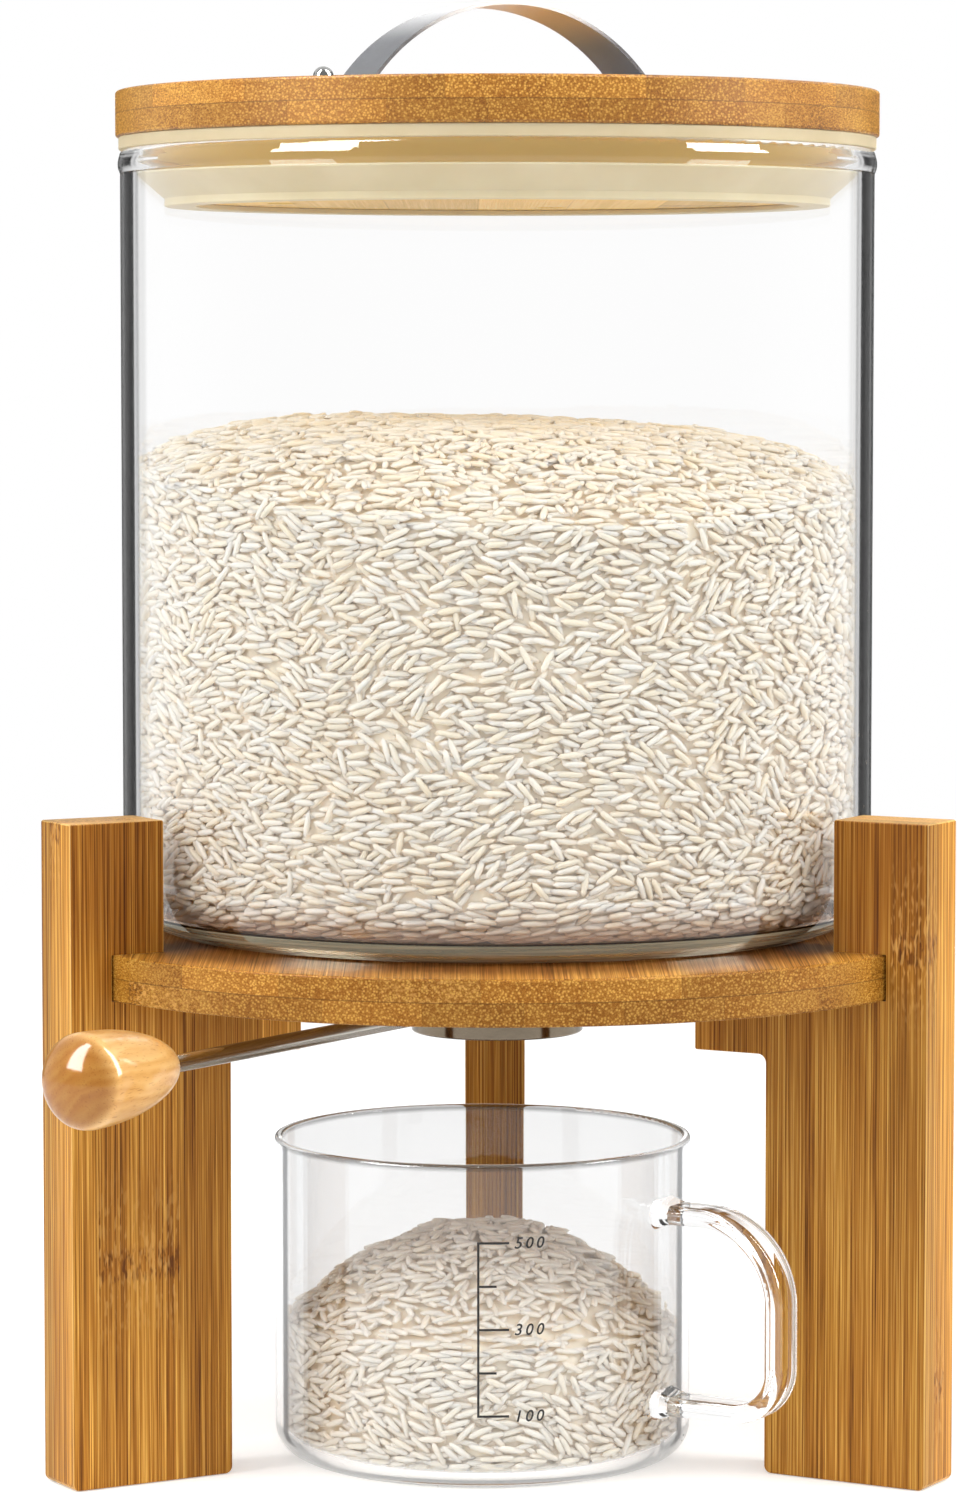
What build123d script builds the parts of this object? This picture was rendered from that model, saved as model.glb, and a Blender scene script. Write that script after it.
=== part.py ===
from build123d import *
import os
from math import sqrt

# Glass rice dispenser: a glass jar with a bamboo lid stands on a three-legged bamboo stand.
# A lever below turns the outlet valve, and the rice falls into a glass measuring cup.
# Millimetres, +Z up, origin on the jar's axis at worktop level, front towards -Y.

# Clearances that many pieces share
moving_clearance = 0.3
running_clearance = 0.05
seat_clearance = 0.1
cut_overrun = 1

# Glass jar
jar_radius = 100
jar_height = 207
jar_wall = 4
jar_base = 5
jar_corner_radius = 15
jar_rim_swell = 0.9
jar_rim_height = 6.3
jar_rim_lean = 1.1
jar_rim_widest_share = 0.33
jar_rim_blend = 1.5
jar_rim_bulge = 5
jar_rim_round_share = 0.4

# Measuring cup, which stands under the outlet, a little forward and to the left
cup_radius = 55.2
cup_height = 85
cup_wall = 2.2
cup_floor = 3.2
cup_corner_radius = 8
cup_rim_round_share = 0.4
cup_left = 4
cup_forward = 20
cup_handle_azimuth = -31
cup_handle_reach = 34.3
cup_handle_width = 11.3
cup_handle_thickness = 5
cup_handle_round_share = 0.42
cup_handle_top_drop = 16.5
cup_handle_bottom_rise = 18.2
cup_handle_top_bend = 22
cup_handle_bottom_bend = 12
cup_handle_root_length = 5
cup_handle_root_spread = 3.4

# Stand: three board legs, notched to take the platform
leg_count = 3
leg_first_azimuth = 90
leg_thickness = 17
leg_inner_fillet = 2.3
leg_foot_round = 2
leg_corner_round = 0.6
leg_edge_round = 0.45
post_clearance = 3.3
post_width = 26.8
post_height = 34
notch_depth = 14.8
foot_gap = 29.7
arm_reach = 20.7
arm_height = 16
cup_headroom = 25
platform_thickness = 12
platform_edge_round = 0.6

# Screws that hold the legs to the platform, driven up through the arms
leg_screw_radius = 2
leg_screw_head_radius = 4
leg_screw_head_height = 2.4
leg_screw_recess = 3
leg_screw_bite = 8

# Outlet sleeve with its flange, and the silicone grommet that lines the jar's hole
outlet_bore_radius = 20.5
sleeve_wall = 1.5
sleeve_flange_thickness = 1.5
sleeve_flange_margin = 4.5
sleeve_top_drop = 0.5
grommet_wall = 3
grommet_lip_width = 4
grommet_lip_height = 1.5
grommet_round = 0.6
sleeve_screw_count = 4
sleeve_screw_first_azimuth = 45
sleeve_screw_radius = 1.5
sleeve_screw_head_radius = 2.8
sleeve_screw_head_height = 1.8
sleeve_screw_bite = 7
sleeve_screw_gap = 0.7

# Fixed port plate, turning shutter and their pivot
port_count = 3
port_first_azimuth = 90
port_angle = 54
port_rim = 1.5
port_hub_gap = 1
port_corner_round = 1.2
plate_thickness = 1.5
shutter_overlap = 1
shutter_wall = 2
shutter_floor = 1.5
shutter_height = 12.7
shutter_edge_round = 0.5
hub_radius = 6
hub_height = 4.5
pivot_radius = 3
pivot_head_radius = 5
pivot_head_height = 2
pivot_tail = 0.7
washer_radius = 5.5
washer_thickness = 1
pivot_nut_across_flats = 8
pivot_nut_height = 3.5

# Lever: steel rod screwed into the shutter, with an egg-shaped wooden knob
lever_azimuth = 237
lever_length = 151.6
rod_radius = 2.25
rod_rise = 7.7
rod_end_round = 0.5
boss_radius = 3.6
boss_length = 1.5
lock_nut_across_flats = 7
lock_nut_thickness = 2.5
knob_length = 38.7
knob_radius = 11.9
knob_belly = 31.4
knob_face_radius = 5.2
knob_bore_depth = 20
insert_length = 16
insert_wall = 1.6

# Lid: bamboo disc, bamboo plug and silicone seal
lid_overhang = 1.2
lid_thickness = 12
lid_edge_round = 0.7
seal_flange_thickness = 3.3
seal_flange_inset = 0.8
seal_neck_gap = 6
seal_neck_height = 6
seal_fin_height = 7
seal_fin_land = 0.8
seal_body_gap = 7.7
seal_ring_height = 2
seal_lip_thickness = 1.5
seal_lip_width = 6
seal_round = 0.35
plug_gap = 10
plug_screw_count = 4
plug_screw_first_azimuth = 75
plug_screw_circle = 60
plug_screw_radius = 2
plug_screw_head_radius = 3.8
plug_screw_head_height = 2.2
plug_screw_recess = 3
plug_screw_bite = 8

# Lid handle: arched steel strap, held by bolts from below and dome nuts on top
handle_azimuth = 29
handle_rise = 23.7
handle_arch_radius = 53
handle_strap_width = 19
handle_strap_thickness = 0.9
handle_bend_radius = 2.5
handle_bolt_reach = 52
handle_tab_margin = 6.5
handle_tab_round = 4
handle_bolt_radius = 1.5
handle_bolt_head_radius = 3.2
handle_bolt_head_height = 2
handle_bolt_grip = 3
dome_nut_radius = 2.7
dome_nut_collar = 2.1

# Driver sockets, as shares of the screw head that carries them
socket_radius_share = 0.5
socket_depth_share = 0.6
head_round_share = 0.45

# Radii that follow from the sizes above
jar_inner_radius = jar_radius - jar_wall
sleeve_radius = outlet_bore_radius + sleeve_wall
grommet_inner_radius = sleeve_radius + moving_clearance
grommet_radius = grommet_inner_radius + grommet_wall
jar_hole_radius = grommet_radius + seat_clearance
post_inner_radius = jar_radius + jar_rim_swell + post_clearance
leg_outer_radius = post_inner_radius + post_width
platform_radius = post_inner_radius + notch_depth
foot_inner_radius = cup_radius + foot_gap
arm_end_radius = foot_inner_radius - arm_reach
leg_screw_reach = (arm_end_radius + foot_inner_radius) / 2
shutter_radius = sleeve_radius + shutter_overlap
boss_reach = shutter_radius + boss_length
lock_nut_reach = boss_reach + lock_nut_thickness
sleeve_screw_reach = lock_nut_reach + sleeve_screw_gap + sleeve_screw_head_radius
flange_radius = sleeve_screw_reach + sleeve_flange_margin
port_outer_radius = outlet_bore_radius - port_rim
port_inner_radius = hub_radius + port_hub_gap
lid_radius = jar_radius + lid_overhang
plug_radius = jar_inner_radius - plug_gap

# Heights that follow from the sizes above
arm_bottom = cup_height + cup_headroom
platform_bottom = arm_bottom + arm_height
platform_top = platform_bottom + platform_thickness
post_top = platform_top + post_height
flange_bottom = platform_bottom - sleeve_flange_thickness
plate_bottom = flange_bottom - plate_thickness
shutter_top = plate_bottom - moving_clearance
shutter_bottom = shutter_top - shutter_height
hub_bottom = shutter_top - hub_height
washer_bottom = hub_bottom - washer_thickness
pivot_nut_bottom = washer_bottom - pivot_nut_height
pivot_bottom = pivot_nut_bottom - pivot_tail
rod_height = shutter_bottom + rod_rise
jar_floor = platform_top + jar_base
jar_top = platform_top + jar_height
lid_bottom = jar_top + seal_flange_thickness
lid_top = lid_bottom + lid_thickness
seal_bottom = jar_top - seal_neck_height - seal_fin_height - seal_ring_height
plug_bottom = seal_bottom + seal_lip_thickness


def cylinder(radius, bottom, top):
    """An upright cylinder on the jar's axis."""
    base = (Align.CENTER, Align.CENTER, Align.MIN)
    return Pos(0, 0, bottom) * Cylinder(radius, top - bottom, align=base)


def rounded_outline(corners):
    """A flat outline from corners of (across, up, rounding), in order."""
    outline = make_face(Polyline([(across, up) for across, up, rounding in corners], close=True))
    for across, up, rounding in corners:
        if rounding > 0:
            corner = outline.vertices().sort_by_distance((across, up, 0))[0]
            outline = fillet(corner, rounding)
    return outline


def turned(corners):
    """A piece turned about the jar's axis, from corners of (radius, height, rounding)."""
    return revolve(Plane.XZ * rounded_outline(corners), Axis.Z)


def around(count, first_azimuth, radius=0):
    """Places spaced evenly round the jar's axis."""
    step = 360 / count
    return [Rot(0, 0, first_azimuth + step * turn) * Pos(radius, 0, 0) for turn in range(count)]


def hexagon(across_flats, bottom, top):
    """An upright hexagonal bar on the jar's axis."""
    outline = RegularPolygon(across_flats / 2, 6, major_radius=False)
    return Pos(0, 0, bottom) * extrude(outline, top - bottom)


def screw(shank_radius, shank_length, head_radius, head_height):
    """A pan-head screw pointing up, with its seat at the origin and a hexagon socket below."""
    head_round = head_height * head_round_share
    tip = shank_length - shank_radius
    body = turned([
        (0, -head_height, 0),
        (head_radius, -head_height, head_round),
        (head_radius, 0, 0),
        (shank_radius, 0, 0),
        (shank_radius, tip, 0),
        (0, shank_length, 0),
    ])
    socket_depth = head_height * socket_depth_share
    socket_across = 2 * head_radius * socket_radius_share
    return body - hexagon(socket_across, -head_height - cut_overrun, socket_depth - head_height)


def hole(radius, bottom, top):
    """A round cutter, run past its mouth at the bottom."""
    return cylinder(radius, bottom - cut_overrun, top)


def leg():
    """One board leg along +X: foot, arm under the platform, notch and post."""
    outline = rounded_outline([
        (foot_inner_radius, 0, leg_foot_round),
        (leg_outer_radius, 0, leg_foot_round),
        (leg_outer_radius, post_top, leg_corner_round),
        (post_inner_radius, post_top, leg_corner_round),
        (post_inner_radius, platform_bottom, 0),
        (arm_end_radius, platform_bottom, 0),
        (arm_end_radius, arm_bottom, leg_corner_round),
        (foot_inner_radius, arm_bottom, leg_inner_fillet),
    ])
    board = extrude(Plane.XZ * outline, leg_thickness / 2, both=True)
    sides = board.faces().sort_by(Axis.Y)
    board = fillet(sides[0].edges() + sides[-1].edges(), leg_edge_round)
    notch_end = platform_radius + moving_clearance
    notch_length = notch_end - arm_end_radius + cut_overrun
    notch_width = leg_thickness + 2 * cut_overrun
    inward = (Align.MAX, Align.CENTER, Align.MIN)
    notch = Box(notch_length, notch_width, platform_thickness, align=inward)
    board -= Pos(notch_end, 0, platform_bottom) * notch
    screw_place = Pos(leg_screw_reach, 0, 0)
    recess_radius = leg_screw_head_radius + moving_clearance
    board -= screw_place * hole(recess_radius, arm_bottom, arm_bottom + leg_screw_recess)
    shank_hole = leg_screw_radius + seat_clearance
    board -= screw_place * hole(shank_hole, arm_bottom, platform_bottom + cut_overrun)
    return board


def leg_screws():
    """The screws driven up through the arms into the platform."""
    length = arm_height - leg_screw_recess + leg_screw_bite
    one = screw(leg_screw_radius, length, leg_screw_head_radius, leg_screw_head_height)
    seat = Pos(0, 0, arm_bottom + leg_screw_recess)
    return [place * seat * one for place in around(leg_count, leg_first_azimuth, leg_screw_reach)]


def platform():
    """The bamboo disc that carries the jar, with the outlet hole in its middle."""
    body = cylinder(platform_radius, platform_bottom, platform_top)
    rims = body.edges().filter_by(GeomType.CIRCLE)
    body = fillet(rims, platform_edge_round)
    body -= hole(sleeve_radius + seat_clearance, platform_bottom, platform_top + cut_overrun)
    leg_pilot = leg_screw_radius + seat_clearance
    leg_pilot_top = platform_bottom + leg_screw_bite + seat_clearance
    for place in around(leg_count, leg_first_azimuth, leg_screw_reach):
        body -= place * hole(leg_pilot, platform_bottom, leg_pilot_top)
    sleeve_pilot = sleeve_screw_radius + seat_clearance
    sleeve_pilot_top = platform_bottom + sleeve_screw_bite + seat_clearance
    for place in around(sleeve_screw_count, sleeve_screw_first_azimuth, sleeve_screw_reach):
        body -= place * hole(sleeve_pilot, platform_bottom, sleeve_pilot_top)
    return body


def outlet_sleeve():
    """The steel tube through the platform, with its flange below and its spigot in the jar."""
    top = jar_floor - sleeve_top_drop
    body = turned([
        (outlet_bore_radius, flange_bottom, 0),
        (flange_radius, flange_bottom, 0),
        (flange_radius, platform_bottom, 0),
        (sleeve_radius, platform_bottom, 0),
        (sleeve_radius, top, 0),
        (outlet_bore_radius, top, 0),
    ])
    for place in around(sleeve_screw_count, sleeve_screw_first_azimuth, sleeve_screw_reach):
        screw_hole = sleeve_screw_radius + seat_clearance
        body -= place * hole(screw_hole, flange_bottom, platform_bottom + cut_overrun)
    return body


def sleeve_screws():
    """The screws that hold the port plate and the flange up against the platform."""
    length = platform_bottom - plate_bottom + sleeve_screw_bite
    one = screw(sleeve_screw_radius, length, sleeve_screw_head_radius, sleeve_screw_head_height)
    places = around(sleeve_screw_count, sleeve_screw_first_azimuth, sleeve_screw_reach)
    return [place * Pos(0, 0, plate_bottom) * one for place in places]


def ports(bottom, top):
    """Cutters for the sector-shaped ports round the pivot."""
    start = -port_angle / 2
    outer = CenterArc((0, 0, 0), port_outer_radius, start, port_angle)
    inner = CenterArc((0, 0, 0), port_inner_radius, start, port_angle)
    sides = [Line(inner @ 0, outer @ 0), Line(inner @ 1, outer @ 1)]
    sector = make_face([outer, inner] + sides)
    sector = fillet(sector.vertices(), port_corner_round)
    cutter = Pos(0, 0, bottom) * extrude(sector, top - bottom)
    return [place * cutter for place in around(port_count, port_first_azimuth)]


def port_plate():
    """The fixed steel plate with three ports, under the flange."""
    body = cylinder(flange_radius, plate_bottom, flange_bottom)
    body -= ports(plate_bottom - cut_overrun, flange_bottom + cut_overrun)
    pivot_hole = pivot_radius + running_clearance
    body -= hole(pivot_hole, plate_bottom, flange_bottom + cut_overrun)
    for place in around(sleeve_screw_count, sleeve_screw_first_azimuth, sleeve_screw_reach):
        screw_hole = sleeve_screw_radius + seat_clearance
        body -= place * hole(screw_hole, plate_bottom, flange_bottom + cut_overrun)
    return body


def pivot_pin():
    """The headed pin on which the shutter turns."""
    return turned([
        (0, pivot_bottom, 0),
        (pivot_radius, pivot_bottom, 0),
        (pivot_radius, flange_bottom, 0),
        (pivot_head_radius, flange_bottom, 0),
        (pivot_head_radius, flange_bottom + pivot_head_height, pivot_head_height * head_round_share),
        (0, flange_bottom + pivot_head_height, 0),
    ])


def pivot_washer():
    """The washer that carries the shutter's hub."""
    body = cylinder(washer_radius, washer_bottom, hub_bottom)
    return body - hole(pivot_radius + running_clearance, washer_bottom, hub_bottom + cut_overrun)


def pivot_nut():
    """The nut below the washer."""
    body = hexagon(pivot_nut_across_flats, pivot_nut_bottom, washer_bottom)
    return body - hole(pivot_radius + running_clearance, pivot_nut_bottom, washer_bottom + cut_overrun)


def along_lever(piece):
    """Turns a piece made along +X to the lever's place."""
    return Rot(0, 0, lever_azimuth) * Pos(0, 0, rod_height) * piece


def rod(radius, start, end):
    """A round bar along +X."""
    base = (Align.CENTER, Align.CENTER, Align.MIN)
    return Pos(start, 0, 0) * Rot(0, 90, 0) * Cylinder(radius, end - start, align=base)


def shutter():
    """The turning ring with its ported floor, its hub and the boss for the lever."""
    ring_inner_radius = shutter_radius - shutter_wall
    bore_radius = pivot_radius + running_clearance
    body = turned([
        (bore_radius, hub_bottom, 0),
        (hub_radius, hub_bottom, 0),
        (hub_radius, shutter_top - shutter_floor, 0),
        (ring_inner_radius, shutter_top - shutter_floor, 0),
        (ring_inner_radius, shutter_bottom, shutter_edge_round),
        (shutter_radius, shutter_bottom, shutter_edge_round),
        (shutter_radius, shutter_top, 0),
        (bore_radius, shutter_top, 0),
    ])
    body -= ports(shutter_top - shutter_floor - cut_overrun, shutter_top + cut_overrun)
    body += along_lever(rod(boss_radius, shutter_radius - shutter_wall / 2, boss_reach))
    rod_hole = rod_radius + running_clearance
    body -= along_lever(rod(rod_hole, ring_inner_radius - cut_overrun, boss_reach + cut_overrun))
    return body


def lever_rod():
    """The steel rod from the shutter to the knob."""
    body = rod(rod_radius, shutter_radius - shutter_wall, lever_length + knob_bore_depth)
    ends = body.edges().filter_by(GeomType.CIRCLE)
    return along_lever(chamfer(ends, rod_end_round))


def lock_nut():
    """The nut that locks the rod against the shutter's boss."""
    body = Rot(0, 90, 0) * hexagon(lock_nut_across_flats, boss_reach, lock_nut_reach)
    bore = rod_radius + running_clearance
    return along_lever(body - rod(bore, boss_reach - cut_overrun, lock_nut_reach + cut_overrun))


def half_egg(semi_length, start, end):
    """Half the knob's outline between two places along the lever."""
    window = Rectangle(end - start, knob_radius + cut_overrun, align=(Align.MIN, Align.MIN))
    return Pos(knob_belly, 0) * Ellipse(semi_length, knob_radius) & Pos(start, 0) * window


def knob():
    """The egg-shaped wooden knob, thicker towards its outer end."""
    taper = sqrt(1 - (knob_face_radius / knob_radius) ** 2)
    outline = half_egg(knob_belly / taper, 0, knob_belly)
    outline += half_egg(knob_length - knob_belly, knob_belly, knob_length)
    body = revolve(outline, Axis.X)
    bore = rod_radius + running_clearance + insert_wall + seat_clearance
    body -= rod(bore, -cut_overrun, insert_length)
    tail = knob_bore_depth + seat_clearance
    body -= rod(rod_radius + seat_clearance, -cut_overrun, tail)
    return along_lever(Pos(lever_length, 0, 0) * body)


def knob_insert():
    """The threaded sleeve set in the knob for the rod."""
    inner = rod_radius + running_clearance
    body = rod(inner + insert_wall, 0, insert_length)
    body -= rod(inner, -cut_overrun, insert_length + cut_overrun)
    return along_lever(Pos(lever_length, 0, 0) * body)


def glass_jar():
    """The glass cylinder with its rounded base, outlet hole and a rim bead that leans in at its top."""
    rim_radius = jar_radius + jar_rim_swell
    rim_round = jar_wall * jar_rim_round_share
    rim_start = jar_top - jar_rim_height
    rim_widest = rim_start + jar_rim_height * jar_rim_widest_share
    return turned([
        (jar_hole_radius, platform_top, 0),
        (jar_radius, platform_top, jar_corner_radius),
        (jar_radius, rim_start, jar_rim_blend),
        (rim_radius, rim_widest, jar_rim_bulge),
        (rim_radius - jar_rim_lean, jar_top, rim_round),
        (jar_inner_radius, jar_top, rim_round),
        (jar_inner_radius, jar_floor, jar_corner_radius - jar_wall),
        (jar_hole_radius, jar_floor, 0),
    ])


def outlet_grommet():
    """The silicone bush in the jar's hole, with a lip on the jar's floor."""
    lip_radius = jar_hole_radius + grommet_lip_width
    lip_top = jar_floor + grommet_lip_height
    return turned([
        (grommet_inner_radius, platform_top + moving_clearance, 0),
        (grommet_radius, platform_top + moving_clearance, 0),
        (grommet_radius, jar_floor, 0),
        (lip_radius, jar_floor, 0),
        (lip_radius, lip_top, grommet_round),
        (grommet_inner_radius, lip_top, grommet_round),
    ])


def handle_bolt_places():
    """The two places where the handle is bolted to the lid."""
    return around(2, handle_azimuth, handle_bolt_reach)


def lid_disc():
    """The bamboo disc that covers the jar."""
    body = cylinder(lid_radius, lid_bottom, lid_top)
    body = fillet(body.edges().filter_by(GeomType.CIRCLE), lid_edge_round)
    for place in handle_bolt_places():
        bolt_hole = handle_bolt_radius + seat_clearance
        body -= place * hole(bolt_hole, lid_bottom, lid_top + cut_overrun)
    pilot_top = lid_bottom + plug_screw_bite + seat_clearance
    for place in around(plug_screw_count, plug_screw_first_azimuth, plug_screw_circle):
        body -= place * hole(plug_screw_radius + seat_clearance, lid_bottom, pilot_top)
    return body


def lid_plug():
    """The bamboo disc below the lid, which the seal wraps."""
    body = cylinder(plug_radius, plug_bottom, lid_bottom)
    pocket_radius = handle_bolt_head_radius + moving_clearance
    pocket_bottom = lid_bottom - handle_bolt_head_height - moving_clearance
    for place in handle_bolt_places():
        body -= place * cylinder(pocket_radius, pocket_bottom, lid_bottom + cut_overrun)
    recess_radius = plug_screw_head_radius + moving_clearance
    for place in around(plug_screw_count, plug_screw_first_azimuth, plug_screw_circle):
        body -= place * hole(recess_radius, plug_bottom, plug_bottom + plug_screw_recess)
        body -= place * hole(plug_screw_radius + seat_clearance, plug_bottom, lid_bottom + cut_overrun)
    return body


def plug_screws():
    """The screws that hold the plug to the lid, driven up from below."""
    length = lid_bottom - plug_bottom - plug_screw_recess + plug_screw_bite
    one = screw(plug_screw_radius, length, plug_screw_head_radius, plug_screw_head_height)
    places = around(plug_screw_count, plug_screw_first_azimuth, plug_screw_circle)
    return [place * Pos(0, 0, plug_bottom + plug_screw_recess) * one for place in places]


def lid_seal():
    """The silicone ring: flange on the rim, neck, flared fin and a lip under the plug."""
    flange = lid_radius - seal_flange_inset
    neck = jar_inner_radius - seal_neck_gap
    fin = jar_inner_radius - moving_clearance
    ring = jar_inner_radius - seal_body_gap
    inner = plug_radius + seat_clearance
    fin_top = jar_top - seal_neck_height
    ring_top = seal_bottom + seal_ring_height
    return turned([
        (plug_radius - seal_lip_width, seal_bottom, seal_round),
        (ring, seal_bottom, seal_round),
        (ring, ring_top, 0),
        (fin, fin_top - seal_fin_land, seal_round),
        (fin, fin_top, seal_round),
        (neck, fin_top, 0),
        (neck, jar_top, 0),
        (flange, jar_top, seal_round),
        (flange, lid_bottom, seal_round),
        (inner, lid_bottom, 0),
        (inner, plug_bottom, 0),
        (plug_radius - seal_lip_width, plug_bottom, seal_round),
    ])


def handle_strap():
    """The arched steel strap with a flat tab at each end."""
    arch_middle = Pos(0, handle_rise - handle_arch_radius)
    inner_radius = handle_arch_radius - handle_strap_thickness
    band = arch_middle * (Circle(handle_arch_radius) - Circle(inner_radius))
    above = Rectangle(2 * handle_arch_radius, handle_rise, align=(Align.CENTER, Align.MIN))
    drop = handle_arch_radius - handle_rise
    foot = sqrt(inner_radius ** 2 - drop ** 2)
    tab_end = handle_bolt_reach + handle_tab_margin
    tab = Rectangle(tab_end - foot, handle_strap_thickness, align=(Align.MIN, Align.MIN))
    outline = (band & above) + Pos(foot, 0) * tab + mirror(Pos(foot, 0) * tab, Plane.YZ)
    knee = sqrt(handle_arch_radius ** 2 - (drop + handle_strap_thickness) ** 2)
    for side in (-1, 1):
        corner = outline.vertices().sort_by_distance((side * knee, handle_strap_thickness, 0))[0]
        outline = fillet(corner, handle_bend_radius)
    body = extrude(Plane.XZ * outline, handle_strap_width / 2, both=True)
    upright = body.edges().filter_by(Axis.Z)
    corners = upright.group_by(lambda edge: round(abs(edge.center().X)))[-1]
    body = fillet(corners, handle_tab_round)
    for place in around(2, 0, handle_bolt_reach):
        bolt_hole = handle_bolt_radius + seat_clearance
        body -= place * hole(bolt_hole, 0, handle_strap_thickness + cut_overrun)
    return Pos(0, 0, lid_top) * Rot(0, 0, handle_azimuth) * body


def handle_bolts():
    """The bolts that come up through the lid and the handle's tabs."""
    length = lid_thickness + handle_strap_thickness + handle_bolt_grip
    one = screw(handle_bolt_radius, length, handle_bolt_head_radius, handle_bolt_head_height)
    return [place * Pos(0, 0, lid_bottom) * one for place in handle_bolt_places()]


def dome_nuts():
    """The dome nuts on the handle's tabs."""
    seat = lid_top + handle_strap_thickness
    body = cylinder(dome_nut_radius, seat, seat + dome_nut_collar)
    body += Pos(0, 0, seat + dome_nut_collar) * Sphere(dome_nut_radius)
    body -= cylinder(dome_nut_radius + cut_overrun, seat - dome_nut_radius, seat)
    thread = handle_bolt_radius + running_clearance
    body -= hole(thread, seat, seat + handle_bolt_grip + seat_clearance)
    return [place * body for place in handle_bolt_places()]


def handle_section(width, thickness):
    """The rounded oblong section of the cup's handle."""
    return RectangleRounded(width, thickness, thickness * cup_handle_round_share)


def measuring_cup():
    """The glass cup with its handle drawn out of the same glass."""
    inner_radius = cup_radius - cup_wall
    rim_round = cup_wall * cup_rim_round_share
    cup = turned([
        (0, 0, 0),
        (cup_radius, 0, cup_corner_radius),
        (cup_radius, cup_height, rim_round),
        (inner_radius, cup_height, rim_round),
        (inner_radius, cup_floor, cup_corner_radius - cup_wall),
        (0, cup_floor, 0),
    ])
    root = cup_radius - cup_wall / 2
    outside = cup_radius + cup_handle_reach
    top_bar = cup_height - cup_handle_top_drop
    bottom_bar = cup_handle_bottom_rise
    path = FilletPolyline(
        (root, 0, top_bar),
        (outside, 0, top_bar),
        (outside, 0, bottom_bar),
        (root, 0, bottom_bar),
        radius=[cup_handle_top_bend, cup_handle_bottom_bend],
    )
    start = Plane((root, 0, top_bar), x_dir=(0, 1, 0), z_dir=(1, 0, 0))
    bow = sweep(start * handle_section(cup_handle_width, cup_handle_thickness), path)
    flared_width = cup_handle_width + cup_handle_root_spread
    flared_thickness = cup_handle_thickness + cup_handle_root_spread
    body = cup + bow
    for height in (top_bar, bottom_bar):
        wall_plane = Plane((root, 0, height), x_dir=(0, 1, 0), z_dir=(1, 0, 0))
        bar_plane = wall_plane.offset(cup_handle_root_length)
        ends = [
            wall_plane * handle_section(flared_width, flared_thickness),
            bar_plane * handle_section(cup_handle_width, cup_handle_thickness),
        ]
        body += loft(ends)
    return Pos(-cup_left, -cup_forward, 0) * Rot(0, 0, cup_handle_azimuth) * body


leg_names = ["leg_back", "leg_front_left", "leg_front_right"]
nodes = dict(zip(leg_names, [place * leg() for place in around(leg_count, leg_first_azimuth)]))
nodes["platform"] = platform()
nodes["leg_screws"] = leg_screws()
nodes["outlet_sleeve"] = outlet_sleeve()
nodes["port_plate"] = port_plate()
nodes["sleeve_screws"] = sleeve_screws()
nodes["pivot_pin"] = pivot_pin()
nodes["pivot_washer"] = pivot_washer()
nodes["pivot_nut"] = pivot_nut()
nodes["shutter_ring"] = shutter()
nodes["lever_rod"] = lever_rod()
nodes["lever_lock_nut"] = lock_nut()
nodes["knob"] = knob()
nodes["knob_insert"] = knob_insert()
nodes["glass_jar"] = glass_jar()
nodes["outlet_grommet"] = outlet_grommet()
nodes["lid_disc"] = lid_disc()
nodes["lid_plug"] = lid_plug()
nodes["plug_screws"] = plug_screws()
nodes["lid_seal"] = lid_seal()
nodes["handle_strap"] = handle_strap()
nodes["handle_bolts"] = handle_bolts()
nodes["handle_dome_nuts"] = dome_nuts()
nodes["measuring_cup"] = measuring_cup()

os.makedirs("parts", exist_ok=True)
for name, piece in nodes.items():
    shape = Compound(children=piece) if isinstance(piece, list) else piece
    export_step(shape, f"parts/{name}.step")
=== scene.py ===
import bmesh
import bpy
import random
from math import cos, hypot, pi, radians, sin, sqrt
from mathutils import Color, Matrix, Vector
from mathutils.noise import noise as noise_at


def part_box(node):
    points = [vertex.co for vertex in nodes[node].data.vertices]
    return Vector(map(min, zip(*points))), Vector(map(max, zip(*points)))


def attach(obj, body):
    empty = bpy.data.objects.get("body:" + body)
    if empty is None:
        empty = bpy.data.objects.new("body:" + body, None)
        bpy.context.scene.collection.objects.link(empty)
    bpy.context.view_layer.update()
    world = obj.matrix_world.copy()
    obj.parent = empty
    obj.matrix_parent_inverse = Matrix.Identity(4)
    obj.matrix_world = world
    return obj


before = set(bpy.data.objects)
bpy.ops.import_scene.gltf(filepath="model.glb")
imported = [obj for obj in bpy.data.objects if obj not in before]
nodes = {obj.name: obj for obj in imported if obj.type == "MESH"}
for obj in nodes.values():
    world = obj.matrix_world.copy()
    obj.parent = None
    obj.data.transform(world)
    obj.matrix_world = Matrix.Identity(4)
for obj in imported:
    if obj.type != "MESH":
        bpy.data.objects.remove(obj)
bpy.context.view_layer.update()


# Legs: three notched boards of caramelised bamboo, glued up from flat strips in three layers.
# They stand on edge round the outlet with a satin lacquer, and screws hold them under the platform.
# Their posts above the platform are darkened with painted shade, their eased vertical edges carry a
# painted highlight, and their cut ends are paler.
leg_azimuths = {"leg_back": 90, "leg_front_left": 210, "leg_front_right": 330}
leg_knuckles = {"leg_back": 0.06, "leg_front_left": 0.1694, "leg_front_right": 0.0246}
leg_tones = {"leg_back": 1.0, "leg_front_left": 0.99, "leg_front_right": 1.09}
leg_layers = {"height": 0.0058, "shift": 0.5, "line": 0.25}
leg_strips = {"width": 0.024, "shift": 0.47}
leg_edge_lift = 0.05
# Painted shade darkens the legs above this height, blending in over the span below.
post_shade_start = 0.13
post_shade_blend = 0.02
strip_stagger = 0.43
strip_jump = 60.0
fibre_size = (0.00052, 0.00052, 0.16)
hair_size = (0.00026, 0.00026, 0.04)
cloud_size = (0.012, 0.012, 0.2)
bundle_size = (0.0007, 0.0007, 0.09)
dot_size = (0.00074, 0.00074, 0.03)
joint_width = 0.00022
knuckle_spacing = 0.42
knuckle_strip_step = 0.2
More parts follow.
